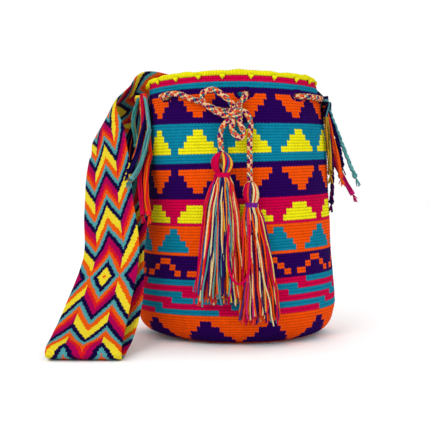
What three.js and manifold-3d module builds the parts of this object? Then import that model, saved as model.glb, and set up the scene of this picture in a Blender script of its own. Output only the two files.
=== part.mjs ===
// A wayuu mochila: a crocheted bucket bag with a woven shoulder strap, a braided drawstring
// tied in a bow at the front, two yarn tassels, and fringes where the strap's ends are bound on.
// Millimetres, +Z up. The bag stands on its flat base at z = 0, centred on the Z axis.
// Its front looks towards -Y, and angles round the bag run from the front, positive towards +X.
import * as THREE from "three";
import { mergeVertices } from "three/addons/utils/BufferGeometryUtils.js";
import Module from "manifold-3d";

const wasm = await Module();
wasm.setup();

// Driving dimensions
const RIM_HEIGHT = 303;
const WALL = 4;
const BAG_SEGMENTS = 64;
const SIDE_DROOP_LEFT = 6;
const SIDE_DROOP_RIGHT = 4;
const DROOP_START = 245;
const RIM_LEAN = 7.5;
const LEAN_START = 180;
const LEFT_FULLNESS = 0.045;

const DRAWCORD = 6.5;
const EYELET_HEIGHT = 277;
const EYELET_ANGLES = [5.7, 45, 80, 116, 152, 188, 224, 309.6];
const EYELET_SIZE = { along: 20, high: 10.5 };
const THREADING = { swing: 6.7, turn: 11 };

const STRAP_HALF_WIDTH = 39;
const STRAP_THICKNESS = 3;
const STRAP_STEPS = 84;

const TAIL = 5;
const YARN = 2.6;

// Outer outline of the bag, as radius and height.
const OUTLINE = [
  [82, 0],
  [98, 5],
  [107, 12],
  [112, 22],
  [115, 40],
  [113, 69],
  [110.5, 101],
  [109.5, 134],
  [107.5, 170],
  [106, 205],
  [104.5, 235],
  [102, 256],
  [99.5, 280],
  [97.5, RIM_HEIGHT],
];

const COLOURS = {
  body: 0xfc5808,
  strap: 0xfa3c1e,
  drawcord: 0xfadca0,
  tassel: 0xd00048,
  tie: 0x6a1c8c,
  navy: 0x180048,
  teal: 0x60b0b0,
  orange: 0xff6e0a,
  red: 0xf01432,
  magenta: 0xbe005a,
  plum: 0x3a0a50,
  yellow: 0xd8c832,
};

const bag = new THREE.Group();

function add(name, geometry, colour) {
  const material = new THREE.MeshStandardMaterial({ color: colour, roughness: 0.9, metalness: 0 });
  const mesh = new THREE.Mesh(geometry, material);
  mesh.name = name;
  bag.add(mesh);
  return mesh;
}

// Shapes shared by the pieces

const radians = THREE.MathUtils.degToRad;

function around(angle, radius, z) {
  return new THREE.Vector3(radius * Math.sin(angle), -radius * Math.cos(angle), z);
}

// The rim hangs a little lower at the bag's two sides, where the strap pulls on it.
function rimShift(angle, z) {
  const rise = THREE.MathUtils.smoothstep(z, DROOP_START, RIM_HEIGHT);
  const sideways = Math.sin(angle);
  const droop = sideways < 0 ? SIDE_DROOP_LEFT : SIDE_DROOP_RIGHT;
  return -droop * sideways * sideways * rise;
}

// The soft bag leans to the left towards its rim.
function lean(z) {
  const rise = Math.max(0, z - LEAN_START) / (RIM_HEIGHT - LEAN_START);
  return RIM_LEAN * rise * rise;
}

// It is a little fuller low down on its left.
function settledX(x, z) {
  const { smoothstep } = THREE.MathUtils;
  const low = smoothstep(z, 0, 10) * (1 - smoothstep(z, 40, 130));
  return (x < 0 ? x * (1 + LEFT_FULLNESS * low) : x) - lean(z);
}

function outerRadius(z) {
  const next = OUTLINE.findIndex((point) => point[1] > z);
  if (next < 0) return OUTLINE[OUTLINE.length - 1][0];
  const [r0, z0] = OUTLINE[next - 1];
  const [r1, z1] = OUTLINE[next];
  return THREE.MathUtils.mapLinear(z, z0, z1, r0, r1);
}

function solidOf(geometry) {
  const plain = geometry.clone();
  plain.deleteAttribute("normal");
  plain.deleteAttribute("uv");
  const merged = mergeVertices(plain, 1e-4);
  return new wasm.Manifold(
    new wasm.Mesh({
      numProp: 3,
      vertProperties: new Float32Array(merged.attributes.position.array),
      triVerts: new Uint32Array(merged.index.array),
    }),
  );
}

function geometryOf(solid) {
  const { vertProperties, triVerts } = solid.getMesh();
  const geometry = new THREE.BufferGeometry();
  geometry.setAttribute("position", new THREE.BufferAttribute(vertProperties, 3));
  geometry.setIndex(new THREE.BufferAttribute(triVerts, 1));
  geometry.computeVertexNormals();
  return geometry;
}

// A closed solid through rings of points that run anticlockwise as seen from ahead of the sweep.
function loft(rings) {
  const count = rings[0].length;
  const positions = rings.flat().flatMap((point) => [point.x, point.y, point.z]);
  const indices = [];
  for (let ring = 0; ring + 1 < rings.length; ring++) {
    for (let i = 0; i < count; i++) {
      const a = ring * count + i;
      const b = ring * count + ((i + 1) % count);
      indices.push(a, b, b + count, a, b + count, a + count);
    }
  }
  const last = (rings.length - 1) * count;
  for (let i = 1; i + 1 < count; i++) {
    indices.push(0, i + 1, i);
    indices.push(last, last + i, last + i + 1);
  }
  const geometry = new THREE.BufferGeometry();
  geometry.setAttribute("position", new THREE.Float32BufferAttribute(positions, 3));
  geometry.setIndex(indices);
  geometry.computeVertexNormals();
  return geometry;
}

// A rounded bundle: ellipses of half-sizes [x, y] about centres, from the top one down.
function bundle(sections, sides = 16) {
  const rings = sections.map(({ centre, half }) =>
    Array.from({ length: sides }, (_, i) => {
      const turn = (-2 * Math.PI * i) / sides;
      const [x, y, z] = centre;
      return new THREE.Vector3(x + half[0] * Math.cos(turn), y + half[1] * Math.sin(turn), z);
    }),
  );
  return loft(rings);
}

function smoothCurve(points) {
  const places = points.map((point) => new THREE.Vector3(...point));
  return new THREE.CatmullRomCurve3(places, false, "catmullrom", 0.5);
}

function cord(points, diameter, spacing = 2.2) {
  const sides = 8;
  const section = new THREE.Shape(
    Array.from({ length: sides }, (_, i) => {
      const turn = (2 * Math.PI * i) / sides;
      return new THREE.Vector2((diameter / 2) * Math.cos(turn), (diameter / 2) * Math.sin(turn));
    }),
  );
  const path = smoothCurve(points);
  const steps = Math.max(4, Math.round(path.getLength() / (spacing * diameter)));
  return new THREE.ExtrudeGeometry(section, { steps, extrudePath: path, bevelEnabled: false });
}

// Bag body: base, wall and rim crocheted in one piece, with eyelets for the drawstring.

function bagBody() {
  const outer = OUTLINE.map(([r, z]) => new THREE.Vector2(r, z));
  const inner = OUTLINE.slice(1).map(([r, z]) => new THREE.Vector2(r - WALL, Math.max(z, WALL + 2)));
  inner[inner.length - 1].y = RIM_HEIGHT;
  const profile = [
    new THREE.Vector2(0, 0),
    ...outer,
    ...inner.reverse(),
    new THREE.Vector2(OUTLINE[0][0], WALL),
    new THREE.Vector2(0, WALL),
  ];
  const lathe = new THREE.LatheGeometry(profile, BAG_SEGMENTS);
  lathe.rotateX(Math.PI / 2);
  const place = lathe.attributes.position;
  for (let i = 0; i < place.count; i++) {
    const [x, y, z] = [place.getX(i), place.getY(i), place.getZ(i)];
    place.setX(i, settledX(x, z));
    place.setZ(i, z + rimShift(Math.atan2(x, -y), z));
  }
  return lathe;
}

function eyeletCutter(degrees) {
  const angle = radians(degrees);
  const cutter = new THREE.CylinderGeometry(0.5, 0.5, 6 * WALL, 14);
  cutter.scale(EYELET_SIZE.along, 1, EYELET_SIZE.high);
  cutter.rotateZ(angle);
  const middle = around(angle, outerRadius(EYELET_HEIGHT) - WALL / 2, cordHeight(angle));
  cutter.translate(middle.x - lean(EYELET_HEIGHT), middle.y, middle.z);
  return cutter;
}

function cordHeight(angle) {
  return EYELET_HEIGHT + rimShift(angle, EYELET_HEIGHT);
}

let body = solidOf(bagBody());
for (const degrees of EYELET_ANGLES) {
  body = body.subtract(solidOf(eyeletCutter(degrees)));
}
add("bag_body", geometryOf(body), COLOURS.body);

// Drawstring: threaded in and out of the eyelets round the back, with both ends brought to the front.

function threadedRoute() {
  const middle = outerRadius(EYELET_HEIGHT) - WALL / 2;
  const points = [];
  EYELET_ANGLES.forEach((degrees, i) => {
    const outwards = i % 2 ? 1 : -1;
    const turn = (THREADING.turn / middle) * (180 / Math.PI);
    const next = EYELET_ANGLES[i + 1];
    const places = [[degrees, 0]];
    if (i > 0) places.unshift([degrees - turn, -outwards]);
    if (next !== undefined) {
      places.push([degrees + turn, outwards]);
      const run = next - degrees - 2 * turn;
      const between = Math.max(1, Math.round(run / 14));
      for (let k = 1; k <= between; k++) {
        places.push([degrees + turn + (run * k) / (between + 1), outwards]);
      }
    }
    for (const [at, side] of places) {
      const angle = radians(at);
      const place = around(angle, middle + side * THREADING.swing, cordHeight(angle));
      points.push([place.x - lean(EYELET_HEIGHT), place.y, place.z]);
    }
  });
  return points;
}
add("drawstring_threaded", cord(threadedRoute(), DRAWCORD, 1.25), COLOURS.drawcord);

const DRAWSTRING_ROUTES = {
  drawstring_left_run: [
    [-87.3, -65.9, 275.2],
    [-79, -75, 277.6],
    [-68, -84.6, 277.5],
    [-55, -92.8, 272.5],
    [-40.5, -99.5, 267],
    [-29, -103, 261],
    [-18.5, -107, 258],
  ],
  bow_loop_left: [
    [-10, -117.5, 266.5],
    [-15, -118.5, 271.5],
    [-21, -117, 276],
    [-28, -114.5, 280],
    [-35.5, -112, 280],
    [-41, -111.5, 275],
    [-40, -112, 267.5],
    [-33, -113.5, 261.5],
    [-25, -115.5, 256],
    [-18.3, -117, 253.4],
  ],
  drawstring_left_end: [
    [-14, -114.5, 246.5],
    [-18.5, -114, 240.5],
    [-21.5, -113.5, 233],
    [-21, -114, 224.5],
    [-20, -115.5, 213.5],
  ],
  drawstring_right_run: [
    [6.2, -102.8, 275.2],
    [4, -105.5, 271],
    [0.5, -107, 266.5],
  ],
  bow_loop_right: [
    [-8, -118, 245.5],
    [-8.5, -119, 239],
    [-5.5, -119, 231.5],
    [0.5, -118.5, 228.5],
    [3.8, -118, 234],
    [1.5, -118, 240.5],
    [-0.5, -118, 246],
  ],
  drawstring_right_end: [
    [5.5, -113, 256.5],
    [10.3, -113, 249.5],
    [11.5, -112, 240],
    [10.5, -112, 224],
    [10.5, -113, 205],
    [10.8, -115.5, 182],
  ],
};
for (const [name, route] of Object.entries(DRAWSTRING_ROUTES)) {
  add(name, cord(route, DRAWCORD, 1.1), COLOURS.drawcord);
}

const BOW_KNOT = [
  { centre: [-4, -113, 263.5], half: [3, 3] },
  { centre: [-4.5, -113, 261], half: [7.5, 6.5] },
  { centre: [-7, -113.5, 256], half: [9.5, 8] },
  { centre: [-8, -113.5, 251.5], half: [8.5, 7.5] },
  { centre: [-8, -113.5, 249.2], half: [4, 4] },
];
add("bow_knot", bundle(BOW_KNOT, 14), COLOURS.drawcord);

// Tassels: yarn looped over the cord's end, bound below the head, and left to fall as a skirt.

const TASSELS = {
  left: {
    head: [
      { centre: [-20, -119.5, 212.8], half: [4, 4] },
      { centre: [-20, -119.5, 210], half: [9, 8] },
      { centre: [-20, -120, 204], half: [12, 10.5] },
      { centre: [-20, -120, 198], half: [12, 10.5] },
      { centre: [-19.5, -119.5, 192.5], half: [8.5, 8] },
      { centre: [-19, -119.5, 190.6], half: [6, 6] },
    ],
    tie: [
      { centre: [-19, -119.5, 190.3], half: [8.2, 7.8] },
      { centre: [-19, -119.5, 188.8], half: [9, 8.6] },
      { centre: [-19, -119.5, 187.2], half: [8.2, 7.8] },
    ],
    skirt: [
      { centre: [-19, -119.5, 186.9], half: [7, 6.5] },
      { centre: [-19.5, -120, 178], half: [12, 8.5] },
      { centre: [-20.5, -121.5, 150], half: [17, 9] },
      { centre: [-21.5, -124, 110], half: [20.5, 10] },
      { centre: [-22.5, -126.5, 75], half: [22.5, 10] },
      { centre: [-23, -128, 47], half: [23.5, 9.5] },
    ],
  },
  right: {
    head: [
      { centre: [11, -118, 181], half: [4, 4] },
      { centre: [11, -118, 178.5], half: [7.5, 7] },
      { centre: [11.5, -118.5, 171], half: [9.5, 9] },
      { centre: [12, -118.5, 165], half: [9.5, 9] },
      { centre: [12.5, -118.5, 159.5], half: [8, 7.5] },
      { centre: [12.5, -118.5, 157.8], half: [6, 6] },
    ],
    tie: [
      { centre: [12.5, -118.5, 157.5], half: [8.4, 7.4] },
      { centre: [12.5, -118.5, 156], half: [9.2, 8.2] },
      { centre: [12.5, -118.5, 154.4], half: [8.4, 7.4] },
    ],
    skirt: [
      { centre: [12.5, -118.5, 154.1], half: [7.5, 6.5] },
      { centre: [14, -120, 144], half: [11, 8] },
      { centre: [17, -122.5, 115], half: [14, 9] },
      { centre: [19.5, -125.5, 75], half: [17, 10] },
      { centre: [21, -128, 45], half: [18.5, 9.5] },
      { centre: [21.5, -127.5, 26], half: [18.5, 8.5] },
    ],
  },
};
for (const [side, sections] of Object.entries(TASSELS)) {
  add(`tassel_head_${side}`, bundle(sections.head, 14), COLOURS.tassel);
  add(`tassel_tie_${side}`, bundle(sections.tie, 14), COLOURS.tie);
  add(`tassel_skirt_${side}`, bundle(sections.skirt, 16), COLOURS.tassel);
}

const YARN_LOOP = [
  [-12.5, -133.5, 136],
  [-13.5, -137.5, 112],
  [-12.5, -140, 92],
  [-8.5, -141, 78.5],
  [-1.5, -141, 73],
  [5.5, -140.5, 78],
  [9.5, -140, 92],
  [10, -138, 112],
  [9.5, -135.5, 136],
];
add("tassel_yarn_loop", cord(YARN_LOOP, YARN, 2.6), COLOURS.magenta);

// Shoulder strap: one woven band from the right side, round the back, over the left side,
// down to a fold on the ground and back up to the left side. Each station is the band's
// centre, the direction of its outer edge, and its half-width.

const UPRIGHT = [0, 0, 1];
const BACK_RUN = [
  [92.5, 104.5, 266, 12],
  [103, 106.5, 265, 17],
  [116, 109, 263, 27],
  [132, 111.5, 262, 36],
  [152, 112.5, 262, STRAP_HALF_WIDTH],
  [176, 112.5, 262, STRAP_HALF_WIDTH],
  [200, 112.5, 263, STRAP_HALF_WIDTH],
].map(([degrees, radius, z, half]) => ({
  centre: around(radians(degrees), radius, z).toArray(),
  edge: UPRIGHT,
  half,
}));
const SIDE_RUN = [
  [[-76, 92, 270], [0, 0, 1]],
  [[-110, 66, 275], [-0.05, -0.2, 0.97]],
  [[-133, 37, 264], [0.1, -0.6, 0.79]],
  [[-157, 4, 250], [0.35, -0.78, 0.5]],
  [[-154, -18, 223], [0.58, -0.78, 0.2]],
  [[-151, -36, 188], [0.7, -0.71, 0.08]],
  [[-148, -58, 148], [0.74, -0.67, 0.04]],
  [[-143, -86, 102], [0.8, -0.6, 0]],
  [[-148.5, -112, 68], [0.87, -0.49, 0]],
  [[-156, -142, 38], [0.93, -0.36, 0]],
  [[-160, -170, 20], [0.98, -0.2, 0]],
  [[-161, -188, 14.5], [1, -0.06, 0]],
  [[-161, -194.5, 8.2], [1, 0, 0]],
  [[-160.5, -188, 2.8], [1, -0.06, 0]],
  [[-158.5, -170, 3.2], [0.98, -0.2, 0]],
  [[-150, -138, 18], [0.95, -0.3, 0]],
  [[-142, -107, 50], [0.92, -0.39, 0]],
  [[-141, -74, 92], [0.86, -0.5, 0]],
  [[-134, -43, 136], [0.74, -0.67, 0]],
].map(([centre, edge]) => ({ centre, edge, half: STRAP_HALF_WIDTH }));
const LEFT_END = [
  { centre: [-122.5, -22, 178], edge: [0.62, -0.78, 0], half: 31 },
  { centre: [-121, -11, 214], edge: [0.6, -0.8, 0], half: 28 },
  { centre: [-118, -7, 242], edge: [0.45, -0.89, 0], half: 20 },
  { centre: [-112.5, -3, 263], edge: [0, -1, 0], half: 13 },
];
const STATIONS = [...BACK_RUN, ...SIDE_RUN, ...LEFT_END];

function strap() {
  const centres = smoothCurve(STATIONS.map((station) => station.centre));
  const edges = smoothCurve(STATIONS.map((station) => station.edge));
  const halves = smoothCurve(STATIONS.map((station) => [station.half, 0, 0]));
  const across = [-1, -0.4, 0.4, 1];
  const rings = [];
  for (let step = 0; step <= STRAP_STEPS; step++) {
    const t = step / STRAP_STEPS;
    const centre = centres.getPoint(t);
    const along = centres.getTangent(t);
    const edge = edges.getPoint(t);
    edge.addScaledVector(along, -edge.dot(along)).normalize();
    const face = new THREE.Vector3().crossVectors(along, edge).multiplyScalar(STRAP_THICKNESS / 2);
    const half = halves.getPoint(t).x;
    const back = across.map((u) => centre.clone().addScaledVector(edge, u * half).sub(face));
    const front = across.map((u) => centre.clone().addScaledVector(edge, -u * half).add(face));
    rings.push([...back, ...front]);
  }
  return loft(rings);
}
add("shoulder_strap", strap(), COLOURS.strap);

// Bindings: the gathered strap ends, bound round with yarn at the bag's sides.

const BINDINGS = {
  strap_binding_left: [
    { centre: [-113.6, -8, 280.5], half: [5.5, 8] },
    { centre: [-113.6, -8, 279], half: [7.4, 11.5] },
    { centre: [-113.6, -8, 275], half: [8.4, 13] },
    { centre: [-113.4, -7, 270.5], half: [7.6, 12] },
    { centre: [-113.2, -6, 269], half: [6, 9] },
  ],
  strap_binding_right: [
    { centre: [102, -5.5, 280], half: [2.8, 4.5] },
    { centre: [102, -5.5, 278.5], half: [3.8, 6.5] },
    { centre: [102.5, -6, 271.5], half: [4.4, 8] },
    { centre: [103, -6, 266], half: [4.2, 7] },
    { centre: [103, -6, 264.5], half: [3.2, 5] },
  ],
};
add("strap_binding_left", bundle(BINDINGS.strap_binding_left, 14), COLOURS.orange);
add("strap_binding_right", bundle(BINDINGS.strap_binding_right, 14), COLOURS.navy);

// Fringe tails: the strap's warp yarns, braided or loose, hanging from each binding.

const TAILS = {
  tail_left_teal_loop: {
    colour: COLOURS.teal,
    route: [[-119, -19, 266], [-121, -24, 256], [-121, -28, 243], [-118.5, -31, 229], [-118, -33, 218]],
  },
  tail_left_amber: {
    colour: COLOURS.yellow,
    route: [[-112, -25, 266], [-110.5, -30, 252], [-111, -36, 238], [-114, -44, 222], [-119, -52, 205]],
  },
  tail_left_navy: {
    colour: COLOURS.navy,
    route: [[-105, -29, 266.5], [-107, -37, 250], [-112, -48, 227], [-115, -61, 210], [-124, -74, 190]],
  },
  tail_left_teal: {
    colour: COLOURS.teal,
    route: [[-102, -46, 240], [-105, -53, 224], [-108, -59, 210], [-112.5, -68, 195], [-121, -78, 182]],
  },
  tail_left_red: {
    colour: COLOURS.red,
    route: [[-109, -43, 219], [-111, -50, 205], [-112, -60, 189], [-110, -74, 165], [-107, -86, 143]],
  },
  tail_left_orange: {
    colour: COLOURS.orange,
    route: [[-101, -46, 212], [-103.5, -58, 198], [-104.5, -69, 181], [-103, -79.5, 160], [-100, -87, 143]],
  },
  tail_right_teal: {
    colour: COLOURS.teal,
    route: [[107.5, -1, 263], [114.5, -1, 245], [125.5, -2, 217], [132.5, -3, 199], [139.5, -4, 183]],
  },
  tail_right_navy: {
    colour: COLOURS.navy,
    route: [[104.5, -8, 262], [110, -8.5, 248], [116, -9, 230], [120.5, -9.5, 210], [122.5, -9.5, 196]],
  },
  tail_right_orange: {
    colour: COLOURS.orange,
    route: [[101.5, -15.5, 263], [107, -16.5, 242], [112.5, -17, 220], [117, -17, 202], [120.5, -16.5, 183]],
  },
  tail_right_magenta: {
    colour: COLOURS.magenta,
    route: [[109.5, 7, 247], [110.5, 6.5, 228], [115, 6, 204], [126, 5, 182], [137, 4, 163]],
  },
  tail_right_plum: {
    colour: COLOURS.plum,
    route: [[101, -22.5, 261], [104, -24, 242], [107.5, -24, 215], [109.5, -24, 184], [108.5, -24, 153]],
  },
  tail_right_yellow: {
    colour: COLOURS.yellow,
    route: [[100.5, -30.5, 254], [103, -32, 235], [104.5, -32, 215], [106.5, -32, 187]],
  },
};
for (const [name, { colour, route }] of Object.entries(TAILS)) {
  add(name, cord(route, TAIL, 2.2), colour);
}

export default bag;
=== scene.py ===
"""Looks of a wayuu mochila: crocheted bag, twined strap, braided drawstring, tassels and fringes.

Shapes are worked out in millimetres and written to meshes in metres. Angles round the bag run from
its front, which looks towards -Y, and are positive towards +X.
"""

import math
import random

import bpy
import numpy as np
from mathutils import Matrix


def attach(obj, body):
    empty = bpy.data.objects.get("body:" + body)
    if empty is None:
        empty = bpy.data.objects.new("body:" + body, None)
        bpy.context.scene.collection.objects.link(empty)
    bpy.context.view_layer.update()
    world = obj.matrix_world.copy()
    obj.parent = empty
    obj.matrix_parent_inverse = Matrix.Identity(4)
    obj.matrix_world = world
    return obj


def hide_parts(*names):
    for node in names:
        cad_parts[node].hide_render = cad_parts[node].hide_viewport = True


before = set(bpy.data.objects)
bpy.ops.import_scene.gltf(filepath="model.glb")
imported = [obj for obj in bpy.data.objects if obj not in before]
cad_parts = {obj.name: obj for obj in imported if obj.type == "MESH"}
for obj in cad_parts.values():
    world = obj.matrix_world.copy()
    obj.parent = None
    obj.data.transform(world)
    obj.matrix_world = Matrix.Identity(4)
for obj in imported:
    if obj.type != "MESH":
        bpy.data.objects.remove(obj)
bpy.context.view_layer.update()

MM = 0.001
SEED = 20

# -------------------- camera, floor and light

CAMERA_AT = (-27, -1300, 208)
CAMERA_PITCH = 2.8
CAMERA_LENS = 91.8


def add_camera():
    data = bpy.data.cameras.new("camera")
    data.lens = CAMERA_LENS
    data.sensor_width = 36
    data.clip_start = 0.01
    camera = bpy.data.objects.new("camera", data)
    camera.location = [v * MM for v in CAMERA_AT]
    camera.rotation_euler = (math.radians(90 - CAMERA_PITCH), 0, 0)
    bpy.context.collection.objects.link(camera)
    bpy.context.scene.camera = camera


def add_area_light(name, place, target, size, power):
    data = bpy.data.lights.new(name, "AREA")
    data.shape = "DISK"
    data.size = size
    data.energy = power
    light = bpy.data.objects.new(name, data)
    light.location = place
    direction = np.array(target) - np.array(place)
    flat = math.hypot(direction[0], direction[1])
    light.rotation_euler = (math.atan2(flat, -direction[2]), 0, math.atan2(-direction[0], direction[1]))
    bpy.context.collection.objects.link(light)


def add_studio():
    world = bpy.data.worlds.new("studio")
    world.use_nodes = True
    background = world.node_tree.nodes["Background"]
    background.inputs["Color"].default_value = (1, 1, 1, 1)
    background.inputs["Strength"].default_value = 1.0
    bpy.context.scene.world = world
    middle = (0, 0, 0.15)
    add_area_light("key", (-0.9, -1.5, 1.3), middle, 1.2, 13)
    add_area_light("fill", (1.2, -1.2, 0.7), middle, 1.4, 3)
    add_area_light("back", (0.4, 1.5, 1.4), middle, 1.2, 4)
    bpy.ops.mesh.primitive_plane_add(size=8)
    floor = bpy.context.object
    floor.name = "studio_floor"
    material = bpy.data.materials.new("floor_white")
    material.use_nodes = True
    shader = material.node_tree.nodes["Principled BSDF"]
    shader.inputs["Base Color"].default_value = (0.99, 0.99, 0.99, 1)
    shader.inputs["Roughness"].default_value = 0.9
    floor.data.materials.append(material)


# -------------------- materials

def linear(hex_colour):
    """The linear red, green and blue of an sRGB colour written as six hex digits."""
    channels = [int(hex_colour[i : i + 2], 16) / 255 for i in (0, 2, 4)]
    return [c / 12.92 if c <= 0.04045 else ((c + 0.055) / 1.055) ** 2.4 for c in channels]


def calc(tree, operation, a, b=0.0, clamp=False):
    """One Math node of the tree, fed by sockets or numbers."""
    node = tree.nodes.new("ShaderNodeMath")
    node.operation = operation
    node.use_clamp = clamp
    for socket, value in zip(node.inputs, (a, b)):
        if isinstance(value, (int, float)):
            socket.default_value = value
        else:
            tree.links.new(value, socket)
    return node.outputs[0]


def noise(tree, coordinates, scale, detail):
    node = tree.nodes.new("ShaderNodeTexNoise")
    node.inputs["Scale"].default_value = scale
    node.inputs["Detail"].default_value = detail
    tree.links.new(coordinates, node.inputs["Vector"])
    return node.outputs["Fac"]


def uv_parts(tree):
    uv = tree.nodes.new("ShaderNodeUVMap")
    split = tree.nodes.new("ShaderNodeSeparateXYZ")
    tree.links.new(uv.outputs["UV"], split.inputs["Vector"])
    return split.outputs["X"], split.outputs["Y"]


def ridges(tree, value):
    """Rounded ridges, one for each whole step of the value."""
    return calc(tree, "ABSOLUTE", calc(tree, "SINE", calc(tree, "MULTIPLY", value, math.pi)))


def stitch_height(tree):
    """Height of crochet stitches over UVs that count stitches across and rows up."""
    u, v = uv_parts(tree)
    across = calc(tree, "ABSOLUTE", calc(tree, "SUBTRACT", calc(tree, "FRACT", u), 0.5))
    up = calc(tree, "FRACT", v)
    leg = calc(tree, "ADD", calc(tree, "MULTIPLY", up, 0.26), 0.12)
    off_leg = calc(tree, "ABSOLUTE", calc(tree, "SUBTRACT", across, leg))
    yarn_round = calc(tree, "SUBTRACT", 1.0, calc(tree, "MULTIPLY", off_leg, 6.0), clamp=True)
    yarn_part = calc(tree, "MULTIPLY", yarn_round, 0.35)
    row_part = calc(tree, "MULTIPLY", calc(tree, "SINE", calc(tree, "MULTIPLY", up, math.pi)), 0.8)
    return calc(tree, "ADD", yarn_part, row_part)


def twine_height(tree):
    """Height of twined yarns over UVs in yarn widths: X across the zigzag, Y along it."""
    u, v = uv_parts(tree)
    wrap = ridges(tree, calc(tree, "ADD", v, calc(tree, "MULTIPLY", u, 0.5)))
    return calc(tree, "ADD", calc(tree, "MULTIPLY", ridges(tree, u), 0.7), calc(tree, "MULTIPLY", wrap, 0.5))


def ply_height(tree):
    """Height of the plies of a twisted yarn, over UVs that count plies along and round it."""
    u, v = uv_parts(tree)
    return ridges(tree, calc(tree, "ADD", u, v))


# For each kind of yarn: its relief, the relief's depth in metres, how far its dye is dimmed all over as
# painted shade for the shade between yarns, and how strongly painted shade darkens the grooves between
# yarns.
YARN_KINDS = {
    "stitch": (stitch_height, 0.0007, 0.80, 0.6),
    "twine": (twine_height, 0.0007, 0.74, 0.9),
    "ply": (ply_height, 0.0003, 0.82, 0.6),
}
materials = {}


def yarn(kind, hex_colour):
    """A dyed yarn: mottled matt colour, and the relief of its stitches, twining or plies."""
    key = f"{kind}_{hex_colour}"
    if key in materials:
        return materials[key]
    material = bpy.data.materials.new(f"yarn_{key}")
    material.use_nodes = True
    tree = material.node_tree
    shader = tree.nodes["Principled BSDF"]
    place = tree.nodes.new("ShaderNodeTexCoord").outputs["Object"]
    height_of, depth, shade_dimming, groove_shade_strength = YARN_KINDS[kind]
    height = height_of(tree)

    # Colour: dye mottling, painted shade darkening the grooves between the yarns, and slightly lighter loose
    # fibres.
    # Painted shade: the dye is dimmed all over, standing in for the shade between the yarns.
    base = np.array(linear(hex_colour)) * shade_dimming
    mix = tree.nodes.new("ShaderNodeMix")
    mix.data_type = "RGBA"
    mix.inputs["A"].default_value = list(base * 0.3) + [1]
    mix.inputs["B"].default_value = list(base * 1.06) + [1]
    mottle = calc(tree, "MULTIPLY", noise(tree, place, 140, 3), 0.45)
    fibre = calc(tree, "MULTIPLY", noise(tree, place, 1500, 2), 0.3)
    # Painted shade: the colour goes darker where the relief is low, in the grooves between yarns.
    painted_groove_shade = calc(tree, "MULTIPLY", height, groove_shade_strength)
    tone = calc(tree, "ADD", calc(tree, "ADD", mottle, fibre), painted_groove_shade, clamp=True)
    tree.links.new(tone, mix.inputs["Factor"])
    tree.links.new(mix.outputs["Result"], shader.inputs["Base Color"])

    shader.inputs["Roughness"].default_value = 0.88
    shader.inputs["Specular IOR Level"].default_value = 0.03

    bump = tree.nodes.new("ShaderNodeBump")
    bump.inputs["Strength"].default_value = 0.8
    bump.inputs["Distance"].default_value = depth
    fuzz = calc(tree, "MULTIPLY", noise(tree, place, 2600, 2), 0.35)
    tree.links.new(calc(tree, "ADD", height, fuzz), bump.inputs["Height"])
    tree.links.new(bump.outputs["Normal"], shader.inputs["Normal"])
    materials[key] = material
    return material


ORANGE, PURPLE, TEAL, YELLOW, MAGENTA = "ff5606", "2a0058", "0a86a6", "fbf214", "d60048"
STRAP_COLOURS = {
    "navy": "130640",
    "teal": "54a8ae",
    "orange": "f8600c",
    "red": "e81a28",
    "magenta": "b80058",
    "yellow": "ffe632",
}
CREAM, CORD_PURPLE, CORD_RED, GREY_TEAL, BLUE = "f6dca0", "7c2478", "f2402c", "62a0a4", "20509c"


# -------------------- mesh helpers

def mesh_object(name, vertices, faces, slots, face_slots, uvs):
    """An object from vertices in millimetres, a list of faces with their slots, and a UV a corner."""
    mesh = bpy.data.meshes.new(name)
    mesh.from_pydata((vertices * MM).tolist(), [], faces)
    for material in slots:
        mesh.materials.append(material)
    mesh.polygons.foreach_set("material_index", np.asarray(face_slots, dtype=np.int32))
    layer = mesh.uv_layers.new(name="yarn")
    layer.data.foreach_set("uv", np.asarray(uvs, dtype=np.float32).ravel())
    mesh.polygons.foreach_set("use_smooth", [True] * len(mesh.polygons))
    mesh.update()
    piece = bpy.data.objects.new(name, mesh)
    bpy.context.collection.objects.link(piece)
    return piece


def grid_faces(rows, columns):
    """Quads of a grid of points whose columns close into a ring."""
    row, column = np.meshgrid(np.arange(rows - 1), np.arange(columns), indexing="ij")
    following = (column + 1) % columns
    a = row * columns + column
    b = row * columns + following
    return np.stack([a, b, b + columns, a + columns], axis=-1).reshape(-1, 4)


def grid_uvs(rows, columns, u_step, v_step):
    """UVs for the corners of the quads that grid_faces makes."""
    row, column = np.meshgrid(np.arange(rows - 1), np.arange(columns), indexing="ij")
    corners = [(0, 0), (1, 0), (1, 1), (0, 1)]
    uv = [np.stack([(column + i) * u_step, (row + j) * v_step], axis=-1) for i, j in corners]
    return np.stack(uv, axis=2).reshape(-1, 2)


def catmull_rom(points, parameters):
    """Points at the parameters, 0 to 1, of a uniform Catmull-Rom curve through the given points."""
    points = np.asarray(points, dtype=float)
    padded = np.vstack([2 * points[0] - points[1], points, 2 * points[-1] - points[-2]])
    spans = len(points) - 1
    place = np.clip(np.asarray(parameters) * spans, 0, spans)
    start = np.minimum(place.astype(int), spans - 1)
    t = (place - start)[:, None]
    p0, p1, p2, p3 = (padded[start + k] for k in range(4))
    m1 = (p2 - p0) / 2
    m2 = (p3 - p1) / 2
    return (2 * p1 - 2 * p2 + m1 + m2) * t**3 + (3 * p2 - 3 * p1 - 2 * m1 - m2) * t**2 + m1 * t + p1


def run_along(path):
    """How far along the path each of its points is."""
    return np.concatenate([[0], np.cumsum(np.linalg.norm(np.diff(path, axis=0), axis=1))])


def even_path(points, step):
    """The smooth curve through the points, at even steps of about the given length."""
    fine = catmull_rom(points, np.linspace(0, 1, 40 * len(points)))
    run = run_along(fine)
    count = max(3, int(round(run[-1] / step)) + 1)
    wanted = np.linspace(0, run[-1], count)
    return np.stack([np.interp(wanted, run, fine[:, k]) for k in range(3)], axis=1)


def path_length(path):
    return float(np.linalg.norm(np.diff(path, axis=0), axis=1).sum())


def unit(vectors):
    return vectors / np.maximum(np.linalg.norm(vectors, axis=-1, keepdims=True), 1e-9)


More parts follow.
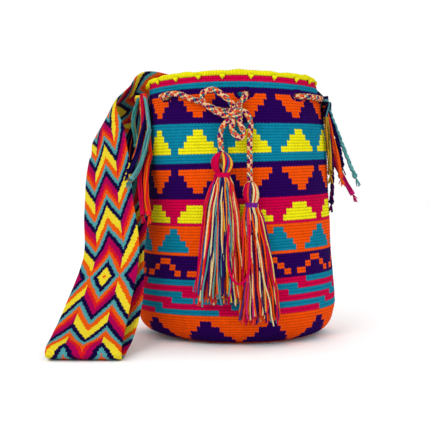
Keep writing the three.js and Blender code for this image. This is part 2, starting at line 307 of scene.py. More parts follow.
def frames_along(path):
    """Two unit vectors across the path at each point, carried along it without twist."""
    tangents = unit(np.gradient(path, axis=0))
    helper = np.array([0.0, 0.0, 1.0]) if abs(tangents[0][2]) < 0.8 else np.array([1.0, 0.0, 0.0])
    side = unit(np.cross(tangents[0], helper))
    sides = []
    for tangent in tangents:
        side = unit(side - tangent * np.dot(side, tangent))
        sides.append(side)
    sides = np.array(sides)
    return sides, np.cross(tangents, sides)


class Bundle:
    """Tubes gathered into one mesh, each with its own yarn."""

    def __init__(self, name):
        self.name = name
        self.vertices, self.faces, self.face_slots = [], [], []
        self.uvs, self.slots = [], []
        self.count = 0

    def slot_of(self, material):
        if material not in self.slots:
            self.slots.append(material)
        return self.slots.index(material)

    def tube(self, path, radius, hex_colour, sides=6, kind="ply"):
        path = np.asarray(path, dtype=float)
        radii = np.broadcast_to(np.asarray(radius, dtype=float), (len(path),))
        one, two = frames_along(path)
        turns = np.linspace(0, 2 * math.pi, sides, endpoint=False)
        ring = np.cos(turns)[None, :, None] * one[:, None] + np.sin(turns)[None, :, None] * two[:, None]
        points = path[:, None] + ring * radii[:, None, None]
        self.vertices.append(points.reshape(-1, 3))
        quads = grid_faces(len(path), sides) + self.count
        self.faces.extend(quads.tolist())
        first = [self.count + k for k in range(sides)][::-1]
        last = [self.count + (len(path) - 1) * sides + k for k in range(sides)]
        self.faces.extend([first, last])
        slot = self.slot_of(yarn(kind, hex_colour))
        self.face_slots.extend([slot] * (len(quads) + 2))
        spacing = path_length(path) / max(1, len(path) - 1)
        self.uvs.append(grid_uvs(len(path), sides, 3 / sides, spacing / (4 * radii.mean())))
        self.uvs.append(np.zeros((2 * sides, 2)))
        self.count += len(path) * sides

    def finish(self):
        uvs = np.concatenate(self.uvs)
        vertices = np.concatenate(self.vertices)
        return mesh_object(self.name, vertices, self.faces, self.slots, self.face_slots, uvs)


def add_braid(bundle, path, diameter, colours, pitch=19.0):
    """A round braid: every second strand winds the other way, passing over and under the rest."""
    count = len(colours)
    one, two = frames_along(path)
    run = run_along(path)
    thick = diameter * (0.2 if count > 4 else 0.27)
    reach = diameter / 2 - thick
    for k, colour in enumerate(colours):
        way = 1 if k % 2 else -1
        turn = way * 2 * math.pi * run / pitch + 2 * math.pi * k / count
        weave = 1 + 0.18 * np.cos(count * math.pi * run / pitch + (math.pi if k % 2 else 0))
        across = np.cos(turn)[:, None] * one + np.sin(turn)[:, None] * two
        bundle.tube(path + across * (reach * weave)[:, None], thick, colour)


def ride_root(piece, slot, *nodes):
    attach(piece, "root")
    if nodes:
        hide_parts(*nodes)
    return piece


# -------------------- bag: sizes shared with the CAD

RIM_HEIGHT = 303
WALL = 4
SIDE_DROOP_LEFT = 6
SIDE_DROOP_RIGHT = 4
DROOP_START = 245
RIM_LEAN = 7.5
LEAN_START = 180
LEFT_FULLNESS = 0.045
OUTLINE = [
    (82, 0), (98, 5), (107, 12), (112, 22), (115, 40), (113, 69), (110.5, 101), (109.5, 134),
    (107.5, 170), (106, 205), (104.5, 235), (102, 256), (99.5, 280), (97.5, RIM_HEIGHT),
]
EYELET_HEIGHT = 277
EYELET_ANGLES = [5.7, 45, 80, 116, 152, 188, 224, 309.6]
EYELET_HALF = (9.6, 5.6)
DRAWCORD = 6.5
STITCHES = 165
ROW = 3.3
RINGS_PER_ROW = 2
PATTERN_TOP = 297.4
ABOVE_FLOOR = 0.05


def smoothstep(value, low, high):
    t = np.clip((value - low) / (high - low), 0, 1)
    return t * t * (3 - 2 * t)


def rim_shift(angle, z):
    """How far the rim hangs down at the bag's two sides."""
    droop = np.where(np.sin(angle) < 0, SIDE_DROOP_LEFT, SIDE_DROOP_RIGHT)
    return -droop * np.sin(angle) ** 2 * smoothstep(z, DROOP_START, RIM_HEIGHT)


def lean(z):
    """How far the bag leans to the left at a height."""
    rise = np.maximum(0, z - LEAN_START) / (RIM_HEIGHT - LEAN_START)
    return RIM_LEAN * rise**2


def settle(points, z):
    """The points of a round bag, moved as the soft one stands: leaning, and fuller low on its left."""
    low = smoothstep(z, 0, 10) * (1 - smoothstep(z, 40, 130))
    x = points[..., 0]
    x = np.where(x < 0, x * (1 + LEFT_FULLNESS * low), x) - lean(z)
    return np.stack(np.broadcast_arrays(x, points[..., 1], points[..., 2]), axis=-1)


def outer_radius(z):
    radii, heights = np.array(OUTLINE).T
    return np.interp(z, heights, radii)


def around(angle, radius, z):
    return np.stack(np.broadcast_arrays(radius * np.sin(angle), -radius * np.cos(angle), z), axis=-1)


# -------------------- bag: the crocheted pattern

WIDE = 32.727
NARROW = 36.0


def off_centre(column, repeat, angle):
    """Stitches from the middle of the nearest repeat of a figure that has one at the angle."""
    period = STITCHES * repeat / 360
    place = (column + 0.5) - STITCHES * angle / 360
    return (place + period / 2) % period - period / 2


def steps(column, row, widths, repeat, angle):
    """Whether the stitch is in a stepped figure whose widths are given from the top, two rows each."""
    step = row // 2
    if not 0 <= step < len(widths):
        return False
    return abs(off_centre(column, repeat, angle)) < widths[step] / 2


def zigzag_blocks(column, row):
    """Small blocks that run down and up in a V, two rows each."""
    if row > 5:
        return False
    distance = abs(off_centre(column, WIDE, 0.7))
    level = 2 - row // 2
    return 1 + 2.2 * level < distance < 3.4 + 2.2 * level


def meander(column, row):
    """Two colours of stripe, two rows thick, that each step down every so many stitches."""
    run = STITCHES / 10
    level = row // 2
    shifted = column + 60.5
    for stripe in range(-16, 24):
        top = stripe + math.floor((shifted + 3 * stripe) / run) - 5
        below = stripe + 1 + math.floor((shifted + 3 * (stripe + 1)) / run) - 5
        if top <= level < below:
            return stripe % 2 == 0
    return False


PYRAMID = [3, 6, 9, 12]
BANDS = [
    (2, MAGENTA, None, None),
    (2, TEAL, None, None),
    (2, PURPLE, None, None),
    (10, PURPLE, ORANGE, lambda c, r: steps(c, r, PYRAMID[::-1], WIDE, 7.3)),
    (13, TEAL, YELLOW, lambda c, r: steps(c, r - 2, PYRAMID, WIDE, 7.3)),
    (12, PURPLE, ORANGE, lambda c, r: steps(c, r - 2, PYRAMID[::-1], WIDE, 7.3)),
    (9, MAGENTA, YELLOW, lambda c, r: steps(c, r - 2, [5, 9, 12], WIDE, 6)),
    (10, ORANGE, TEAL, lambda c, r: steps(c, r - 1, PYRAMID, WIDE, -10.5)),
    (8, PURPLE, ORANGE, lambda c, r: r > 0 and zigzag_blocks(c, r - 1)),
    (12, MAGENTA, TEAL, meander),
    (14, ORANGE, PURPLE, lambda c, r: steps(c, r - 2, [3, 6, 9, 12, 14.5, 15], NARROW, 18)),
    (40, ORANGE, None, None),
]
BAG_COLOURS = [ORANGE, PURPLE, TEAL, YELLOW, MAGENTA]


def pattern_table(rows):
    """The yarn of each stitch, by row from the top and column round the bag."""
    table = np.zeros((rows, STITCHES), dtype=np.int32)
    top = 0
    for height, ground, figure, inside in BANDS:
        for row in range(top, min(top + height, rows)):
            for column in range(STITCHES):
                drawn = inside is not None and inside(column, row - top)
                table[row, column] = BAG_COLOURS.index(figure if drawn else ground)
        top += height
    return table


def wall_outline():
    """Radius and height at close points up the wall, from the base to the pattern's top."""
    fine = catmull_rom([(r, 0, z) for r, z in OUTLINE], np.linspace(0, 1, 1200))[:, [0, 2]]
    return fine[fine[:, 1] <= PATTERN_TOP]


def wall_profile(steps_down):
    """Radius, height and outward normal at even steps down the wall from the pattern's top."""
    fine = wall_outline()[::-1]
    run = run_along(fine)
    wanted = np.linspace(0, run[-1], steps_down + 1)
    radius = np.interp(wanted, run, fine[:, 0])
    height = np.interp(wanted, run, fine[:, 1])
    slope = unit(np.stack([np.gradient(radius), np.gradient(height)], axis=1))
    return radius, height, -slope[:, 1], slope[:, 0]


def in_eyelet(angle, z):
    """Whether each place on the wall lies in one of the drawstring's eyelets."""
    inside = np.zeros(np.broadcast(angle, z).shape, dtype=bool)
    for degrees in EYELET_ANGLES:
        centre = math.radians(degrees)
        across = np.angle(np.exp(1j * (angle - centre))) * outer_radius(EYELET_HEIGHT)
        up = z - EYELET_HEIGHT - rim_shift(centre, EYELET_HEIGHT)
        inside |= (across / EYELET_HALF[0]) ** 2 + (up / EYELET_HALF[1]) ** 2 < 1
    return inside


def soft_swell(angle, z):
    """Slow unevenness of the soft wall, none at the base and little at the rim."""
    fade = smoothstep(z, 8, 70) * (1 - 0.5 * smoothstep(z, 230, 290))
    slow = np.sin(2 * angle + 0.6) * np.sin(z / 62) + 0.7 * np.sin(5 * angle + z / 47)
    return 0.9 * fade * slow


ROW_TILT = 3.5


def tilt(angle, z):
    """How far the rows rise to the right of the bag, and fall to its left, between base and rim."""
    return ROW_TILT * np.sin(angle) * smoothstep(z, 6, 50) * (1 - smoothstep(z, 190, 262))


def bag_yarns():
    return [yarn("stitch", colour) for colour in BAG_COLOURS]


def crocheted_wall(name, inset, inner, columns_per_stitch, relief):
    """The wall's outer or inner face as rows of stitches, set in from the outer outline."""
    rows = round(path_length(wall_outline()) / ROW)
    radius, height, out_r, out_z = wall_profile(rows * RINGS_PER_ROW)
    rings = len(radius)
    columns = STITCHES * columns_per_stitch
    angle = 2 * math.pi * np.arange(columns) / columns
    in_stitch = (np.arange(columns) % columns_per_stitch)[None] / columns_per_stitch
    in_row = (np.arange(rings)[:, None] % RINGS_PER_ROW) / RINGS_PER_ROW
    ridge = np.sin(math.pi * in_row)
    stitch = np.cos(2 * math.pi * (in_stitch - 0.33))
    random_stitch = np.random.default_rng(SEED).uniform(-1, 1, (rings, STITCHES))
    uneven = np.repeat(random_stitch, columns_per_stitch, axis=1)
    bulge = relief * (ridge + 0.2 * stitch * (0.4 + ridge) + 0.22 * uneven) - inset
    teeth = 0.55 * relief * 2 * stitch * (1 - ridge) + 0.12 * uneven
    swell = soft_swell(angle[None], height[:, None])
    rise = tilt(angle[None], height[:, None])
    r = radius[:, None] + out_r[:, None] * bulge + swell + out_z[:, None] * teeth
    r = r + outer_radius(height[:, None] + rise) - outer_radius(height[:, None])
    z = height[:, None] + out_z[:, None] * bulge + out_r[:, None] * teeth + rise
    flat_z = np.maximum(z, WALL if inner else ABOVE_FLOOR)
    z = flat_z + rim_shift(angle[None], height[:, None])
    points = settle(around(np.broadcast_to(angle[None], r.shape), r, z), flat_z).reshape(-1, 3)

    faces = grid_faces(rings, columns)
    uvs = grid_uvs(rings, columns, 1 / columns_per_stitch, -1 / RINGS_PER_ROW).reshape(-1, 4, 2)
    if not inner:
        faces = faces[:, ::-1]
        uvs = uvs[:, ::-1]
    slots = np.repeat(np.repeat(pattern_table(rows), RINGS_PER_ROW, axis=0), columns_per_stitch, axis=1)
    middle_angle = np.broadcast_to((angle + math.pi / columns)[None], slots.shape)
    middle_height = (z[:-1] + z[1:]) / 2
    keep = ~in_eyelet(middle_angle, middle_height).ravel()
    slots = slots.ravel()[keep]
    return mesh_object(name, points, faces[keep].tolist(), bag_yarns(), slots, uvs[keep])


def add_wall():
    outside = crocheted_wall("bag_wall", 0.6, False, 3, 0.46)
    ride_root(outside, "crochet_body", "bag_body")
    inside = crocheted_wall("bag_wall_inside", WALL - 0.4, True, 1, 0.5)
    ride_root(inside, "crochet_body")


# The underside's rings of colour, from the middle: each one's outer radius and its yarn.
BASE_RINGS = [(14, YELLOW), (27, ORANGE), (40, MAGENTA), (53, TEAL), (66, PURPLE), (84, ORANGE)]


def add_base():
    """The base: rounds of stitches from the middle out, on both faces, in plain rings of colour."""
    rings, columns = 50, STITCHES
    radius = np.linspace(1.5, 83.5, rings)
    angle = 2 * math.pi * np.arange(columns) / columns
    ripple = 0.25 * (np.arange(rings) % 2)[:, None] * np.cos(angle * STITCHES / 3)[None] ** 2
    under = 0.15 + ripple
    lower = around(angle[None], radius[:, None], under)
    upper = around(angle[None], radius[::-1][:, None], WALL + 0.6 - under)
    points = np.concatenate([lower, upper])
    points = settle(points, points[..., 2]).reshape(-1, 3)
    faces = grid_faces(2 * rings, columns).tolist()
    faces.append(list(range(columns)))
    faces.append([(2 * rings - 1) * columns + k for k in range(columns)][::-1])
    flipped = [face[::-1] for face in faces]
    reach = np.concatenate([radius, radius[::-1]])
    inside = [reach < limit for limit, _ in BASE_RINGS]
    colours = np.select(inside, [BAG_COLOURS.index(colour) for _, colour in BASE_RINGS])
    middle = BAG_COLOURS.index(BASE_RINGS[0][1])
    slots = np.repeat(colours[:-1], columns).tolist() + [middle, middle]
    uvs = np.concatenate([grid_uvs(2 * rings, columns, 1, 0.5), np.zeros((2 * columns, 2))])
    ride_root(mesh_object("bag_base", points, flipped, bag_yarns(), slots, uvs), "crochet_body")


def add_edging():
    """The rim's edging: a rounded row of yellow stitches."""
    columns, sides = 3 * STITCHES, 12
    angle = 2 * math.pi * np.arange(columns) / columns
    turns = np.linspace(0, 2 * math.pi, sides, endpoint=False)
    stitch = np.cos(2 * math.pi * np.arange(columns) / 3)
    wave = 0.5 * np.sin(7 * angle + 0.7) + 0.45 * np.sin(19 * angle) + 0.25 * np.sin(31 * angle)
    thick = (WALL / 2 + 0.9 + 0.25 * stitch)[:, None]
    tall = (3.1 + 0.2 * stitch + 0.45 * wave)[:, None]
    middle = PATTERN_TOP - 0.4 + tall
    r = outer_radius(middle) - WALL / 2 + thick * np.cos(turns)[None]
    z = middle + tall * np.sin(turns)[None] + rim_shift(angle, RIM_HEIGHT)[:, None]
    points = settle(around(angle[:, None], r, z), RIM_HEIGHT).reshape(-1, 3)
    last = (columns - 1) * sides
    closing = [[last + k, last + (k + 1) % sides, (k + 1) % sides, k] for k in range(sides)]
    faces = [face[::-1] for face in grid_faces(columns, sides).tolist() + closing]
    uvs = grid_uvs(columns + 1, sides, 1 / 4, 1 / 3)
    slots = [0] * len(faces)
    piece = mesh_object("rim_edging", points, faces, [yarn("stitch", YELLOW)], slots, uvs)
    ride_root(piece, "crochet_body")


def add_picots():
    """Small yellow points of three stitches each, which hang from the edging over the row below."""
    picots = Bundle("rim_picots")
    generator = random.Random(SEED + 1)
    count = 21
    for k in range(count):
        at = math.radians(-6) + 2 * math.pi * k / count + generator.uniform(-0.02, 0.02)
        drop = generator.uniform(4.2, 5.6)
        top = RIM_HEIGHT - 4.5 + float(rim_shift(at, RIM_HEIGHT))
        radius = outer_radius(top) + 0.9
        for side in (-1, 0, 1):
            route = []
            for t in np.linspace(0, 1, 9):
                spread = side * 2.3 * (1 - 0.45 * math.sin(math.pi * t * 0.5))
                low = drop * (1 - 0.35 * abs(side)) * t
                out = radius + 1.1 * math.sin(math.pi * min(1, t * 1.1)) - 0.6 * t
                route.append(settle(around(at + spread / radius, out, top - low), RIM_HEIGHT))
            picots.tube(route, np.linspace(1.5, 1.0, len(route)), YELLOW, 8, "stitch")
    ride_root(picots.finish(), "crochet_body")


def add_eyelets():
    """The stitches round each eyelet, which close the wall's outer face onto its inner one."""
    rims = Bundle("eyelet_stitches")
    for degrees in EYELET_ANGLES:
        centre = math.radians(degrees)
        middle = outer_radius(EYELET_HEIGHT) - WALL / 2
        height = EYELET_HEIGHT + float(rim_shift(centre, EYELET_HEIGHT))
        route = []
        for turn in np.linspace(0, 2 * math.pi, 41):
            across = EYELET_HALF[0] * math.cos(turn) / middle
            place = around(centre + across, middle, height + EYELET_HALF[1] * math.sin(turn))
            route.append(settle(place, EYELET_HEIGHT))
        ripple = 2.25 + 0.2 * np.cos(np.arange(41) * math.pi / 2)
        rims.tube(route, ripple, PURPLE, 10, "stitch")
    ride_root(rims.finish(), "crochet_body")


# -------------------- shoulder strap

STRAP_HALF_WIDTH = 39
STRAP_THICKNESS = 3
BACK_RUN = [
    (92.5, 104.5, 266, 12), (103, 106.5, 265, 17), (116, 109, 263, 27), (132, 111.5, 262, 36),
    (152, 112.5, 262, STRAP_HALF_WIDTH), (176, 112.5, 262, STRAP_HALF_WIDTH),
    (200, 112.5, 263, STRAP_HALF_WIDTH),
]
SIDE_RUN = [
    ((-76, 92, 270), (0, 0, 1)),
    ((-110, 66, 275), (-0.05, -0.2, 0.97)),
    ((-133, 37, 264), (0.1, -0.6, 0.79)),
    ((-157, 4, 250), (0.35, -0.78, 0.5)),
    ((-154, -18, 223), (0.58, -0.78, 0.2)),
    ((-151, -36, 188), (0.7, -0.71, 0.08)),
    ((-148, -58, 148), (0.74, -0.67, 0.04)),
    ((-143, -86, 102), (0.8, -0.6, 0)),
    ((-148.5, -112, 68), (0.87, -0.49, 0)),
    ((-156, -142, 38), (0.93, -0.36, 0)),
    ((-160, -170, 20), (0.98, -0.2, 0)),
    ((-161, -188, 14.5), (1, -0.06, 0)),
    ((-161, -194.5, 8.2), (1, 0, 0)),
    ((-160.5, -188, 2.8), (1, -0.06, 0)),
    ((-158.5, -170, 3.2), (0.98, -0.2, 0)),
    ((-150, -138, 18), (0.95, -0.3, 0)),
    ((-142, -107, 50), (0.92, -0.39, 0)),
    ((-141, -74, 92), (0.86, -0.5, 0)),
    ((-134, -43, 136), (0.74, -0.67, 0)),
]
LEFT_END = [
    ((-122.5, -22, 178), (0.62, -0.78, 0), 31),
    ((-121, -11, 214), (0.6, -0.8, 0), 28),
    ((-118, -7, 242), (0.45, -0.89, 0), 20),
    ((-112.5, -3, 263), (0, -1, 0), 13),
]
STRAP_STEPS = 640
STRAP_CELLS = 48

# The zigzag is laid out by distance from the diamond: a core, then repeats of stripes that end at the
# distances below. Every second repeat ends with magenta, after red, and the others with yellow.
DIAMOND_AT = (-148.5, -104, 78)
CHEVRON_RISE = 29
CORE = 13
DIAMOND_EYE = 3.4
NAVY_ENDS, TEAL_ENDS, ORANGE_ENDS, RED_ENDS, ORANGE_ENDS_BY_YELLOW, PERIOD = 8.5, 15.5, 22.5, 29.5, 25.5, 39
TWINE = 1.9

# Where the band is gathered its warp yarns show as plain stripes, over these lengths from its two ends.
GATHERED_RIGHT = 42
GATHERED_LEFT = 118
WARP_COLOURS = ["navy", "teal", "navy", "orange", "navy", "navy", "teal", "red", "navy", "magenta", "navy"]


def strap_stations():
    back = [(tuple(around(math.radians(a), r, z)), (0, 0, 1), half) for a, r, z, half in BACK_RUN]
    side = [(centre, edge, STRAP_HALF_WIDTH) for centre, edge in SIDE_RUN]
    return back + side + LEFT_END


def chevron_colour(q, centre_zone):
    """The yarn at distance q from a chevron's start, and how far the nearest change of yarn is."""
    if q < CORE:
        if not centre_zone:
            return "magenta", CORE - q
        if q < DIAMOND_EYE:
            return "orange", DIAMOND_EYE - q
        return "yellow", min(q - DIAMOND_EYE, CORE - q)
    repeat = int((q - CORE) // PERIOD)
    warm = repeat % 2 == (0 if centre_zone else 1)
    stripes = [("navy", NAVY_ENDS), ("teal", TEAL_ENDS)]
    if warm:
        stripes += [("orange", ORANGE_ENDS), ("red", RED_ENDS), ("magenta", PERIOD)]
    else:
        stripes += [("orange", ORANGE_ENDS_BY_YELLOW), ("yellow", PERIOD)]
    place = (q - CORE) % PERIOD
    start = 0.0
    for name, end in stripes:
        if place < end:
            break
        start = end
    return name, min(place - start, end - place)


def strap_ribbon():
    """The band's middle line at even steps: centre, outward edge, face normal, half-width, distance."""
    stations = strap_stations()
    fine = np.linspace(0, 1, 6000)
    run = run_along(catmull_rom([s[0] for s in stations], fine))
    even = np.interp(np.linspace(0, run[-1], STRAP_STEPS), run, fine)
    centre = catmull_rom([s[0] for s in stations], even)
    edge = catmull_rom([s[1] for s in stations], even)
    half = catmull_rom([(s[2], 0, 0) for s in stations], even)[:, 0]
    tangent = unit(np.gradient(centre, axis=0))
    edge = unit(edge - tangent * (edge * tangent).sum(axis=1, keepdims=True))
    return centre, edge, np.cross(tangent, edge), half, np.linspace(0, float(run[-1]), STRAP_STEPS)


def strap_weave(distance, from_diamond, rise, zone):
    """The yarn of each place on the band, and how far it stands clear of the grooves, 0 to 1."""
    names = list(STRAP_COLOURS)
    columns = len(rise)
    colour = np.zeros((STRAP_STEPS, columns), dtype=np.int32)
    clear = np.zeros((STRAP_STEPS, columns))
    jag = np.random.default_rng(SEED + 2).uniform(-0.5, 0.5, (STRAP_STEPS // 2 + 1, columns))
    for i, s in enumerate(distance):
        for j in range(columns):
            name, off = chevron_colour(from_diamond[i] + rise[j] + jag[i // 2, j], bool(zone[j]))
            if s + 6 * jag[0, j] < GATHERED_RIGHT or s + 8 * jag[0, j] > distance[-1] - GATHERED_LEFT:
                name, off = WARP_COLOURS[j * len(WARP_COLOURS) // columns], 1.2
            colour[i, j] = names.index(name)
            clear[i, j] = 1 - math.exp(-max(off, 0) / 1.1)
    return colour, clear


def add_strap():
    """The twined band, laid along its stations as the CAD band is."""
    centre, edge, face, half, distance = strap_ribbon()
    u = np.linspace(-1, 1, STRAP_CELLS + 1)
    woven = u * STRAP_HALF_WIDTH
    zone = np.abs(woven) < STRAP_HALF_WIDTH / 2
    triangle = 1 - np.abs(1 - (np.abs(woven) % STRAP_HALF_WIDTH) / (STRAP_HALF_WIDTH / 2))
    rise = CHEVRON_RISE * triangle
    diamond = distance[np.argmin(np.linalg.norm(centre - np.array(DIAMOND_AT), axis=1))]
    from_diamond = np.abs(distance - diamond)
    colour, clear = strap_weave(distance, from_diamond, rise, zone)

    edge_round = np.sqrt(np.maximum(0, 1 - np.abs(u) ** 10))
    gathered = 1 - np.clip(half / STRAP_HALF_WIDTH, 0, 1)
    pleats = gathered[:, None] * np.cos(u * 5 * math.pi)[None] * 2.2
    ripple = 0.35 * np.sin(distance[:, None] / 9.0) * np.cos(3 * u)[None]
    thick = (STRAP_THICKNESS / 2 - 0.35 + 0.35 * clear) * edge_round[None] + 0.12
    across = edge[:, None] * (u[None, :, None] * half[:, None, None])
    surface = centre[:, None] + across + face[:, None] * (pleats + ripple)[..., None]
    front = surface + face[:, None] * thick[..., None]
    back = surface - face[:, None] * thick[..., None]
    ring = np.concatenate([back, front[:, ::-1]], axis=1)
    ring[..., 2] = np.maximum(ring[..., 2], ABOVE_FLOOR)

    columns = ring.shape[1]
    faces = grid_faces(STRAP_STEPS, columns)
    ends = [list(range(columns))[::-1], [(STRAP_STEPS - 1) * columns + k for k in range(columns)]]
    slots = np.concatenate([colour, colour[:, ::-1]], axis=1)[:-1].ravel().tolist() + [0, 0]
    zigzag = (from_diamond[:, None] + rise[None]) / TWINE
    uv_grid = np.stack([zigzag, np.broadcast_to(woven[None] / TWINE, zigzag.shape)], axis=-1)
    uv_ring = np.concatenate([uv_grid, uv_grid[:, ::-1]], axis=1).reshape(-1, 2)
    uvs = np.concatenate([uv_ring[faces.ravel()], np.zeros((2 * columns, 2))])
    yarns = [yarn("twine", dye) for dye in STRAP_COLOURS.values()]
    piece = mesh_object("woven_strap", ring.reshape(-1, 3), faces.tolist() + ends, yarns, slots, uvs)
    ride_root(piece, "woven_strap", "shoulder_strap")


# -------------------- bindings of the strap's ends

def add_winding(name, centre, half, turns, thick, colours, slot, node):
    """Yarn wound round a gathered end, turn beside turn, over a plain core."""
    wound = Bundle(name)
    for n, colour in enumerate(colours):
        route = []
        span = turns / len(colours)
        for k in np.linspace(0, 1, int(22 * span) + 2):
            level = (n + k) / len(colours)
            turn = 2 * math.pi * turns * level
            swell = 0.82 + 0.18 * math.sin(math.pi * level)
            x = centre[0] + half[0] * swell * math.cos(turn)
            y = centre[1] + half[1] * swell * math.sin(turn)
            route.append((x, y, centre[2] + half[2] * (1 - 2 * level)))
        wound.tube(route, thick, colour, 7)
    core = [(centre[0], centre[1], centre[2] + half[2] * k) for k in (-0.95, -0.5, 0, 0.5, 0.95)]
    wound.tube(core, min(half[0], half[1]) * 0.86, colours[0], 12)
    ride_root(wound.finish(), slot, node)


def add_bindings():
    navy, orange, yellow = (STRAP_COLOURS[name] for name in ("navy", "orange", "yellow"))
    add_winding(
        "strap_winding_left", (-113.6, -8, 275), (6.9, 10.6, 4.4), 6, 1.2,
        [yellow, "fcb020", orange], "fringe_orange", "strap_binding_left",
    )
    add_winding(
        "strap_winding_right", (102.5, -6, 272), (3.3, 6.2, 6.8), 9, 1.0,
        [navy, GREY_TEAL, navy, orange], "fringe_navy", "strap_binding_right",
    )


# -------------------- drawstring

CORD_COLOURS = [CREAM, "e84428", "42145c", "f4b08c", "f2d48c", "b81850", "e8682c", "4c8490"]
THREAD_SWING = 6.7
THREAD_TURN = 11
KNOT_AT = (-6.8, -113.5, 255.8)

LEFT_RUN = [
    (-87.3, -65.9, 275.2), (-79, -75, 277.6), (-68, -84.6, 277.5), (-55, -92.8, 272.5),
    (-40.5, -99.5, 267), (-29, -103, 261), (-18.5, -107, 258),
]
LEFT_LOOP = [
    (-10, -117.5, 266.5), (-15, -118.5, 271.5), (-21, -117, 276), (-28, -114.5, 280),
    (-35.5, -112, 280), (-41, -111.5, 275), (-40, -112, 267.5), (-33, -113.5, 261.5),
    (-25, -115.5, 256), (-18.3, -117, 253.4),
]
LEFT_FREE_END = [
    (-14, -114.5, 246.5), (-18.5, -114, 240.5), (-21.5, -113.5, 233), (-21, -114, 224.5),
    (-20, -115.5, 213.5),
]
RIGHT_RUN = [(6.2, -102.8, 275.2), (4, -105.5, 271), (0.5, -107, 266.5)]
RIGHT_LOOP = [
    (-8, -118, 245.5), (-8.5, -119, 239), (-5.5, -119, 231.5), (0.5, -118.5, 228.5),
    (3.8, -118, 234), (1.5, -118, 240.5), (-0.5, -118, 246),
]
RIGHT_FREE_END = [
    (5.5, -113, 256.5), (10.3, -113, 249.5), (11.5, -112, 240), (10.5, -112, 224),
    (10.5, -113, 205), (10.8, -115.5, 182),
]
LEFT_CORD = (
    [(-80.5, -60.5, 274.6)] + LEFT_RUN + [(-10, -111, 258), (-7, -115, 262)] + LEFT_LOOP
    + [(-11, -117, 252), (-9.5, -115.5, 249.5)] + LEFT_FREE_END + [(-20, -119, 196), (-21, -122, 150)]
)
RIGHT_CORD = (
    [(5.1, -97, 277)] + RIGHT_RUN + [(-5, -110.5, 260), (-8, -115, 252)] + RIGHT_LOOP
    + [(-1.5, -116, 252), (0.5, -114, 257)] + RIGHT_FREE_END + [(12, -118.5, 163), (15.5, -122, 130)]
)


def threaded_route():
    """In and out of the eyelets, from the right one of the front round the back to the left one."""
    middle = float(outer_radius(EYELET_HEIGHT)) - WALL / 2
    turn = math.degrees(THREAD_TURN / middle)
    places = []
    for i, degrees in enumerate(EYELET_ANGLES):
        outwards = 1 if i % 2 else -1
        if i > 0:
            places.append((degrees - turn, -outwards))
        places.append((degrees, 0))
        if i + 1 < len(EYELET_ANGLES):
            following = EYELET_ANGLES[i + 1]
            run = following - degrees - 2 * turn
            between = max(1, round(run / 14))
            places += [(degrees + turn + run * k / (between + 1), outwards) for k in range(between + 1)]
    route = []
    for degrees, side in places:
        at = math.radians(degrees)
        height = EYELET_HEIGHT + float(rim_shift(at, EYELET_HEIGHT))
        route.append(settle(around(at, middle + side * THREAD_SWING, height), EYELET_HEIGHT))
    return route


def add_free_cord(name, route, nodes):
    path = even_path(route, 1.7)
    cord = Bundle(name)
    add_braid(cord, path, DRAWCORD, CORD_COLOURS)
    piece = ride_root(cord.finish(), "drawcord", *nodes)


def add_drawstring(tassels):
    threaded = Bundle("drawstring_braid_threaded")
    add_braid(threaded, even_path(threaded_route(), 1.9), DRAWCORD, CORD_COLOURS)
    ride_root(threaded.finish(), "drawcord", "drawstring_threaded")
    add_free_cord(
        "drawstring_braid_left", LEFT_CORD,
        ["drawstring_left_run", "bow_loop_left", "drawstring_left_end"],
    )
    add_free_cord(
        "drawstring_braid_right", RIGHT_CORD,
        ["drawstring_right_run", "bow_loop_right", "drawstring_right_end"],
    )


def add_bow_knot():
    """Two turns of braid, one sloping each way, over a plain core."""
    x0, y0, z0 = KNOT_AT
    knot = Bundle("bow_knot_braid")
    for lift, slope, phase in ((1.8, 0.44, 0.3), (-2.2, -0.28, 2.0)):
        route = []
        for turn in np.linspace(phase, phase + 1.85 * math.pi, 16):
            across = 7.2 * math.cos(turn)
            height = z0 + lift + slope * across + 1.2 * math.sin(turn)
            route.append((x0 + across, y0 + 6.4 * math.sin(turn), height))
        add_braid(knot, even_path(route, 1.5), 5.6, CORD_COLOURS)
    knot.tube([(-6.8, -113, 250.5), (-6.8, -113.3, 256), (-6.5, -113, 262)], 4.2, CORD_PURPLE, 10)
    ride_root(knot.finish(), "drawcord", "bow_knot")


# -------------------- tassels

